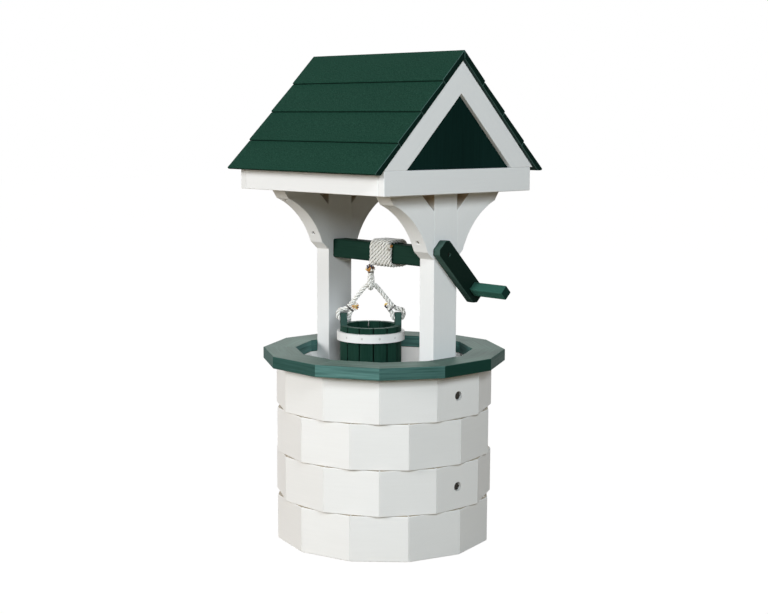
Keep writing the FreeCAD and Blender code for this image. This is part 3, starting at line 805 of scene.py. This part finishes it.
# %% [markdown]
# The sawn ends of the roof boards are worn most, so their edges are eased first and more broadly.
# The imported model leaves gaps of 0.8 mm between the upright boards of a gable. They are all but
# shut here, because seen end on, light came straight through both gables.

# %% Boards of the roof and the gables
roof_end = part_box("roof_board_front_1")[1].x
panel_board = 58.5 * MM


def board_end(edge):
    return min(abs(vertex.co.x) for vertex in edge.verts) > roof_end - 0.1 * MM


for eave in ("front", "back"):
    for row in range(1, 5):
        dress(f"roof_board_{eave}_{row}", f"{eave}_roof_board_{row}", 1.0, along_x,
              roof_looks[eave], "roof_green", broad=1.8 * MM, where=board_end)
for word in ("right", "left"):
    dress(f"gable_panel_{word}", f"{word}_gable_boards", 0.8, upward, panel_green, "panel_green",
          board_wide=panel_board)
for node, name, along in (("rafters", "roof_rafters", (0, 1, 1)),
                          ("floor_slats", "well_floor", along_y),
                          ("floor_bearers", "floor_cross", along_x)):
    dress(node, name, 1.2, along, inner_lumber, "inner_lumber")

# %% [markdown]
# The windlass and the bucket are eased copies as well. A cooper planes off the long outer edges of
# the staves most, so those come first and broader.

# %% Windlass and bucket
stave_upright = 40 * MM
stave_outside = 58 * MM


def outer_upright(edge):
    first, second = (vertex.co - bucket_axis for vertex in edge.verts)
    return abs(first.z - second.z) > stave_upright and first.xy.length > stave_outside


for node, name, ease, along, look in (("windlass_bar", "bar", 0.6, along_x, bar_green),
                                      ("crank_arm", "arm", 1.8, (0, 1, -1), arm_green),
                                      ("crank_handle", "handle", 2.2, along_x, handle_green)):
    dress(node, name, ease, along, look, "green_lumber", "windlass")
dress("bucket_ears", "ears", 1.0, upward, ear_green, "bucket_green", "bucket")
dress("bucket_staves", "staves", 0.8, upward, bucket_green, "bucket_green", "bucket",
      broad=2.2 * MM, where=outer_upright)
dress("bucket_bottom", "bucket_floor", 1.0, along_x, bucket_green, "bucket_green", "bucket")
for hoop in ("upper", "lower"):
    dress(f"bucket_hoop_{hoop}", f"{hoop}_hoop", 1.6, upward, ring_white, "white_lumber", "bucket")

# %% [markdown]
# The rope is three strands laid round each other. Seen from outside, the strands of such a rope
# climb to the right. Its line comes first: a smooth NURBS curve through a few control points, as a
# limp rope lies. Each strand is then swept along a helix round that line.

# %% A smooth line through a route
rope = 8.2 * MM
rope_x = -12.0 * MM
rope_y = -23.2 * MM
axis_high = 573.0 * MM
line_step = 1.0 * MM
curve_steps = 24


def smooth_line(route):
    """The points of the NURBS curve that has the route's points as its control points."""
    line = bpy.data.curves.new("line", "CURVE")
    line.dimensions = "3D"
    line.resolution_u = curve_steps
    spline = line.splines.new("NURBS")
    spline.points.add(len(route) - 1)
    for point, place in zip(spline.points, route):
        point.co = (*place, 1.0)
    spline.order_u = 3
    spline.use_endpoint_u = True
    holder = bpy.data.objects.new("line", line)
    mesh = bpy.data.meshes.new_from_object(holder)
    points = [vertex.co.copy() for vertex in mesh.vertices]
    bpy.data.objects.remove(holder)
    bpy.data.curves.remove(line)
    bpy.data.meshes.remove(mesh)
    return points


def runs_along(points):
    """How far along the line each point lies."""
    runs = [0.0]
    for before, after in zip(points, points[1:]):
        runs.append(runs[-1] + (after - before).length)
    return runs


def spaced_out(points):
    """The same line with its points about one step apart, and its length."""
    runs = runs_along(points)
    count = max(2, round(runs[-1] / line_step)) + 1
    made = []
    at = 0
    for number in range(count):
        wanted = runs[-1] * number / (count - 1)
        while at < len(points) - 2 and runs[at + 1] < wanted:
            at += 1
        share = (wanted - runs[at]) / max(runs[at + 1] - runs[at], 1e-12)
        made.append(points[at].lerp(points[at + 1], share))
    return made, runs[-1]


print("rope hangs at", round(rope_x / MM, 1), round(rope_y / MM, 1), "mm")

# %% Strands round a line
strand_reach = 2.12 * MM
strand_radius = 1.98 * MM
rope_lay = 24.87 * MM
strand_sides = 10


def mesh_piece(name, verts, faces):
    mesh = bpy.data.meshes.new(name)
    mesh.from_pydata(verts, [], faces)
    mesh.update()
    mesh.shade_smooth()
    return new_object(name, mesh)


def frames_along(points):
    """For each point the line's direction and a side that turns no more than it has to."""
    before, after = [points[0], *points], [*points[1:], points[-1]]
    directions = [(ahead - behind).normalized() for ahead, behind in zip(after, before)]
    side = directions[0].orthogonal().normalized()
    if abs(directions[0].z) > 0.5:
        side = (Vector((0, -1, 0)) - directions[0] * -directions[0].y).normalized()
    sides = []
    for direction in directions:
        side = (side - direction * side.dot(direction)).normalized()
        sides.append(side)
    return directions, sides


def turned_out(direction, side, turn):
    """The side, turned about the line's direction."""
    return side * math.cos(turn) + direction.cross(side) * math.sin(turn)


def sweep(verts, faces, places, centres, radius, around):
    """Adds a closed tube, and for each point where it lies on the strand."""
    first = len(verts)
    for centre, direction, side, run in zip(centres, *frames_along(centres), runs_along(centres)):
        for step in range(around):
            turn = 2 * math.pi * step / around
            verts.append(centre + turned_out(direction, side, turn) * radius)
            places.append((run, turn))
    for number in range(len(centres) - 1):
        for step in range(around):
            a = first + number * around + step
            b = first + number * around + (step + 1) % around
            faces.append((a, b, b + around, a + around))
    last = first + (len(centres) - 1) * around
    faces.append(tuple(first + step for step in reversed(range(around))))
    faces.append(tuple(last + step for step in range(around)))


def laid_rope(name, points, thick=1.0, start_turn=0.0):
    """Three strands round the points, which are close together, as one mesh."""
    verts, faces, places, middles = [], [], [], []
    for strand in range(3):
        centres = []
        for point, direction, side, run in zip(points, *frames_along(points), runs_along(points)):
            turn = start_turn + 2 * math.pi * (run / rope_lay + strand / 3)
            centres.append(point + turned_out(direction, side, turn) * strand_reach * thick)
        sweep(verts, faces, places, centres, strand_radius * thick, strand_sides)
        middles += [point for point in points for _ in range(strand_sides)]
    piece = mesh_piece(name, verts, faces)
    values = []
    for vert, (run, turn), middle in zip(verts, places, middles):
        away = (vert - middle).length / (thick * rope / 2)
        values += [run, turn, away]
    remember(piece, "strand_place", values, "FLOAT_VECTOR")
    return piece


print("one turn of the strands takes", round(rope_lay / MM, 2), "mm")

# %% [markdown]
# A strand is a bundle of twisted yarns, so fine lines run along it at a slant, and the grooves
# between the strands carry painted shade. Each point of the mesh knows how far along and round
# its strand it lies, which gives the yarns, and how far from the rope's middle, for the grooves.

# %% Rope material
yarn_lay = 9.0 * MM
yarns_round = 7.0
groove_bottom, groove_top = 0.58, 0.89


def rope_material(name, dark, light, groove_shade):
    material, tree, shader = new_material(name)
    run, turn, away = split_vector(attribute(tree, "strand_place")["Vector"])
    yarn_twist = multiply(run, 2 * math.pi / yarn_lay)
    phase = multiply(calculate("ADD", turn, yarn_twist), yarns_round)
    yarns = calculate("SINE", phase)
    fuzz = noise(coordinates(tree), fine_scale, 3.0)
    tone = blend_colours(spread(fuzz), dark, light)
    # Painted shade, darkest deep in the grooves between the strands.
    deep = remap(away, groove_bottom, groove_top, 1.0, 0.0)
    bumped = relief(yarns, 0.4, 0.3 * MM)
    feed_all(shader, Base_Color=blend_colours(deep, tone, groove_shade), Roughness=0.62,
             Specular_IOR_Level=0.35, Sheen_Weight=0.5,
             Normal=relief(fuzz, 0.4, pebble_depth, bumped))
    return material


# The last colour is the painted shade of the grooves.
rope_look = rope_material("laid_rope", (0.91, 0.89, 0.84), (0.98, 0.97, 0.94), (0.30, 0.27, 0.19))
print("rope material:", rope_look.name)

# %% [markdown]
# Six turns lie side by side on the square bar. A rope pulled round a square bar lies flat on the
# faces and bends over the eased corners, so each turn has twelve control points: one on each face
# and two at each corner.

# %% The winding
turns = 6
pitch = 8.65 * MM
lean = pitch / 40
face_out = 23.3 * MM
corner_out = 23.7 * MM
corner_in = 18.6 * MM
corners = ((-1, 1), (1, 1), (1, -1), (-1, -1))
faces_after = ((0, face_out), (face_out, 0), (0, -face_out), (-face_out, 0))
rope_leaves = 561.0
nailed_end = (41.7 * MM, rope_y, 588.0 * MM)


def winding_route():
    route = [(rope_x, rope_y, rope_leaves * MM), (rope_x, -face_out, axis_high)]
    for quarter in range(4 * turns):
        side_y, side_z = corners[quarter % 4]
        near, far = (corner_out, corner_in) if quarter % 2 == 0 else (corner_in, corner_out)
        x = rope_x + (quarter + 1) * pitch / 4
        face_y, face_z = faces_after[quarter % 4]
        route += [(x - lean, side_y * near, axis_high + side_z * far),
                  (x + lean, side_y * far, axis_high + side_z * near),
                  (x + pitch / 8, face_y, axis_high + face_z)]
    return [*route, nailed_end]


winding_line, winding_long = spaced_out(smooth_line(winding_route()))
winding = laid_rope("rope_on_bar", winding_line)
finish_piece(winding, rope_look, "windlass", "rope", "rope_winding")
print("rope on the bar:", round(winding_long / MM), "mm")

# %% [markdown]
# Below the bar the rope hangs straight, and its end is turned up into an eye. It stands for two
# solids, the short drop and the eye. The bail goes through both ears of the bucket, with its ends
# turned back and up. Each lies in an upright plane, so its route only says how far out and how
# high it goes. Free rope is a little thicker than rope pulled tight round a bar.

# %% The hanging rope and its eye
free_thick = 1.14
eye_facing = math.radians(300)
tail_out = 8.65


def upright_place(middle, facing, out, high):
    """A place in the upright plane through the middle; out and high are in millimetres."""
    return (middle[0] + out * MM * math.cos(facing), middle[1] + out * MM * math.sin(facing),
            high * MM)


def eye_place(out, high):
    return upright_place((rope_x, rope_y), eye_facing, out, high)


eye_route = [eye_place(out, high) for out, high in (
    (0.0, rope_leaves), (0.0, 545.0), (0.0, 529.5), (-5.8, 517.0), (-5.8, 501.6), (13.8, 501.6),
    (13.8, 517.0), (tail_out, 529.5), (tail_out, 537.5))]
eye_line, eye_long = spaced_out(smooth_line(eye_route))
eye = laid_rope("hanging_rope", eye_line, free_thick)
finish_piece(eye, rope_look, "rope_end", "rope", "rope_drop", "rope_eye")

# %% The bail
ear_facing = math.radians(52.5)
bucket_middle = Vector(eye_place(4.0, 0.0))
bail_over = (49.1, 459.2)
bail_slope = (32.0, 479.6)
bail_top = (0.0, 519.5)


def bail_place(out, high):
    return upright_place(bucket_middle, ear_facing, out, high)


bail_side = [(33.0, 465.0), (43.3, 452.4), (43.3, 439.6), (65.8, 439.6), (65.8, 459.2), bail_over,
             bail_slope]
bail_route = [bail_place(out, high) for out, high in (
    *[(-out, high) for out, high in bail_side], bail_top, *reversed(bail_side))]
bail_line, bail_long = spaced_out(smooth_line(bail_route))
bail = laid_rope("bucket_bail", bail_line, free_thick)
finish_piece(bail, rope_look, "bucket", "rope", "bail_rope")
print("hanging rope and eye:", round(eye_long / MM), "mm, bail:", round(bail_long / MM), "mm")

# %% [markdown]
# The windlass lets the rope out, and the rope has to be there when the bucket is down. Under the
# first turn on the bar a second, slightly thinner rope is hidden. It follows the bucket at its
# lower end and the posts at its upper end, and between the two it is gathered in a millimetre.
# As the bucket goes down the gathered part is drawn out to a rope of the right lay, because its
# points are placed by reckoning backwards from where they come to lie.

# %% The rope that is paid out
travel = next(joint for joint in frame["joints"] if joint["name"] == "rope_travel")["range_m"][1]
gather_top = 587.5 * MM
gather_low = 586.5 * MM
paid_thick = 0.98
paid_step = 1.5 * MM
halvings = 40


def gathered(height):
    """Where a point has to be at rest to come to that height when all the rope is out."""
    if height <= gather_low - travel:
        return height + travel
    near, far = 0.0, 1.0
    for _ in range(halvings):
        share = (near + far) / 2
        drawn = travel * share * share * (3 - 2 * share)
        lowered = gather_top - (gather_top - gather_low) * share - drawn
        near, far = (share, far) if lowered > height else (near, share)
    return gather_top - (gather_top - gather_low) * near


out_long = gather_top - eye_line[0].z + travel
count = round(out_long / paid_step)
out_line = [Vector((rope_x, rope_y, gather_top - out_long * number / count))
            for number in range(count + 1)]
paid_out = laid_rope("rope_paid_out", out_line, paid_thick, -2 * math.pi * out_long / rope_lay)
for vertex in paid_out.data.vertices:
    vertex.co.z = gathered(min(vertex.co.z, gather_top))
paid_out.data.materials.append(rope_look)
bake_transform(paid_out, "well", "rope_end", start=(rope_x, rope_y, gather_top),
         end=(rope_x, rope_y, gather_low))
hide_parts("rope_drop")
print("rope that can be paid out:", round(out_long / MM), "mm")

# %% [markdown]
# Where the rope is cut, its yarns spring apart into a small brush, and dyed tracer yarns show. A
# brush is one yarn in the middle with six and then twelve round it. Each end opens a little
# differently, and shows other yarns.

# %% The dyes of the yarns
dyes = {"cream": (0.93, 0.90, 0.84), "orange": (0.72, 0.34, 0.09), "yellow": (0.90, 0.66, 0.24),
        "navy": (0.05, 0.05, 0.11), "brown": (0.10, 0.04, 0.02)}
dye_letters = "".join(name[0] for name in dyes)
fibre_shade = (0.30, 0.24, 0.17)
fibre_scale = 1500.0
dye_material, tree, shader = new_material("cut_yarns")
ramp = add_node(tree, "ValToRGB")
bands = ramp.color_ramp.elements
ramp.color_ramp.interpolation = "CONSTANT"
bands.remove(bands[1])
for number, colour in enumerate(dyes.values()):
    band = bands.new((number - 0.5) / len(dyes)) if number else bands[0]
    band.color = (*colour, 1.0)
feed(ramp.inputs[0], attribute(tree, "dye")["Fac"])
fibre = noise(coordinates(tree), fibre_scale)
shade = spread(fibre, 0.0, 0.2)
feed_all(shader, Base_Color=blend_colours(shade, ramp.outputs[0], fibre_shade),
         Roughness=0.8, Specular_IOR_Level=0.1, Normal=relief(fibre, 0.5, 0.3 * MM))
print("dyes:", len(dyes))

# %% Cut ends
yarn_radius = 1.55 * MM
yarn_sides = 7
yarn_rings = ((1, 0.0, 0.0), (6, 2.6 * MM, 0.0), (12, 4.9 * MM, 15.0))
yarn_root = 0.3
yarn_shares = (-yarn_root, 0.0, 0.3, 0.6, 0.85, 1.0)
yarns_packed = 0.66
opening = 1.3
picture_right = Vector((0.68, 0.73, 0.0))
to_camera = Vector((0.73, -0.68, 0.1))
up = Vector(upward)


def cut_end(name, tip, direction, long, flare, dye_pattern, body):
    """A brush of nineteen yarns, with a letter for the dye of each. Each ring of them starts
    on the right and goes up and round."""
    direction = Vector(direction).normalized()
    side = (picture_right - direction * picture_right.dot(direction)).normalized()
    verts, faces, places, shades = [], [], [], []
    number = 0
    for count, reach, first_turn in yarn_rings:
        for step in range(count):
            out = turned_out(direction, side, math.radians(first_turn + 360 * step / count))
            uneven = 0.85 + 0.2 * math.sin(5.1 * number + 1.0)
            centres = []
            for share in yarn_shares:
                opened = flare * ((share + yarn_root) / (1 + yarn_root)) ** opening
                spot = tip + direction * (long * uneven * share)
                centres.append(spot + out * (reach * (yarns_packed + opened)))
            before = len(verts)
            sweep(verts, faces, places, centres, yarn_radius, yarn_sides)
            shade = dye_letters.index(dye_pattern[number]) / len(dyes)
            shades += [shade] * (len(verts) - before)
            number += 1
    piece = mesh_piece(name, verts, faces)
    remember(piece, "dye", shades)
    finish_piece(piece, dye_material, body, "rope")
    return piece


slope_left = (bail_line[0] - bail_line[6]).normalized()
slope_right = (bail_line[-1] - bail_line[-7]).normalized()
bail_ends = [
    cut_end("bail_end_left", bail_line[0], slope_left * 0.3 + to_camera * 1.2,
            5.0 * MM, 1.0, "yyccooyocccccccccob", "bucket"),
    cut_end("bail_end_right", bail_line[-1], slope_right + to_camera * 0.5,
            5.0 * MM, 0.2, "ycyyybcccyyyycnnccc", "bucket"),
]
eye_end = cut_end("eye_end", eye_line[-1], up + to_camera * 0.8,
                  8.0 * MM, 1.2, "obnbnocbbnbncyooccc", "rope_end")
cut_end("winding_end", winding_line[-1], up + to_camera * 0.3,
        3.5 * MM, 0.25, "boccccoobcccccccooo", "windlass")

# %% [markdown]
# The tails are held to the rope with small rings of dark wire, like the hog rings that close a
# wire fence. A ring is a torus that is pulled out lengthwise, so that it goes round two ropes side
# by side. The bail has two turns of wire at each end, and the eye has one.

# %% Wire rings
wire = 0.6 * MM
eye_ring_high = 533.6
bail_ring_middles = ((45.0, 463.6), (38.8, 458.0))


def ring_round_both(name, first, second, way):
    """A ring of wire round two stretches of rope, whose middles are given."""
    across = second - first
    way = (way - across * way.dot(across) / across.length_squared).normalized()
    ahead = across.normalized()
    turn = Matrix((ahead, way.cross(ahead), way)).transposed()
    bpy.ops.mesh.primitive_torus_add(major_segments=32, minor_segments=8,
                                     location=(first + second) / 2, rotation=turn.to_euler(),
                                     minor_radius=wire,
                                     major_radius=rope / 2 * free_thick + wire * 0.3)
    made = bpy.context.object
    made.name = name
    for vertex in made.data.vertices:
        vertex.co.x += math.copysign(across.length / 2, vertex.co.x)
    bpy.ops.object.transform_apply()
    made.data.shade_smooth()
    return made


eye_ring = ring_round_both("eye_ring", Vector(eye_place(0.0, eye_ring_high)),
                           Vector(eye_place(tail_out, eye_ring_high)), up)
finish_piece(eye_ring, dark_steel, "rope_end", "steel", "eye_clamp")

rings = []
for side in (-1, 1):
    foot, slope, main, tail = (Vector(bail_place(side * out, high)) for out, high in (
        bail_over, bail_slope, *bail_ring_middles))
    way = (slope - foot).normalized()
    for shift in (-0.8, 0.8):
        rings.append(ring_round_both(f"ring_{side}_{shift}", main + way * shift * MM,
                                     tail + way * shift * MM, way))
bail_rings = joined("bail_rings", rings)
finish_piece(bail_rings, dark_steel, "bucket", "steel", "bail_clamps")

# %% [markdown]
# What is left of the solids is small hardware. It keeps its shape and takes the look of bare or
# painted metal.

# %% Hardware
nail_look = lumber("painted_nail", (0.60, 0.59, 0.56), (0.72, 0.71, 0.68), shine=0.3, streak=0.2,
                   pebble=0.3, rough=0.5)
hardware = (
    (zinc, ("coping_screws", "course_screws", "bracket_screws", "frame_screws", "roof_screws",
            "post_nuts", "winding_nail")),
    (bolt_steel, ("crank_screws", "post_bolts", "post_washers")),
    (nail_look, ("hoop_nails",)),
)
for look, nodes in hardware:
    for node in nodes:
        mesh = frame["nodes"][node].data
        mesh.materials.clear()
        mesh.materials.append(look)
    print(look.name, "on", ", ".join(nodes))

# %% Colour view, and the end
bpy.context.scene.view_settings.view_transform = "Standard"
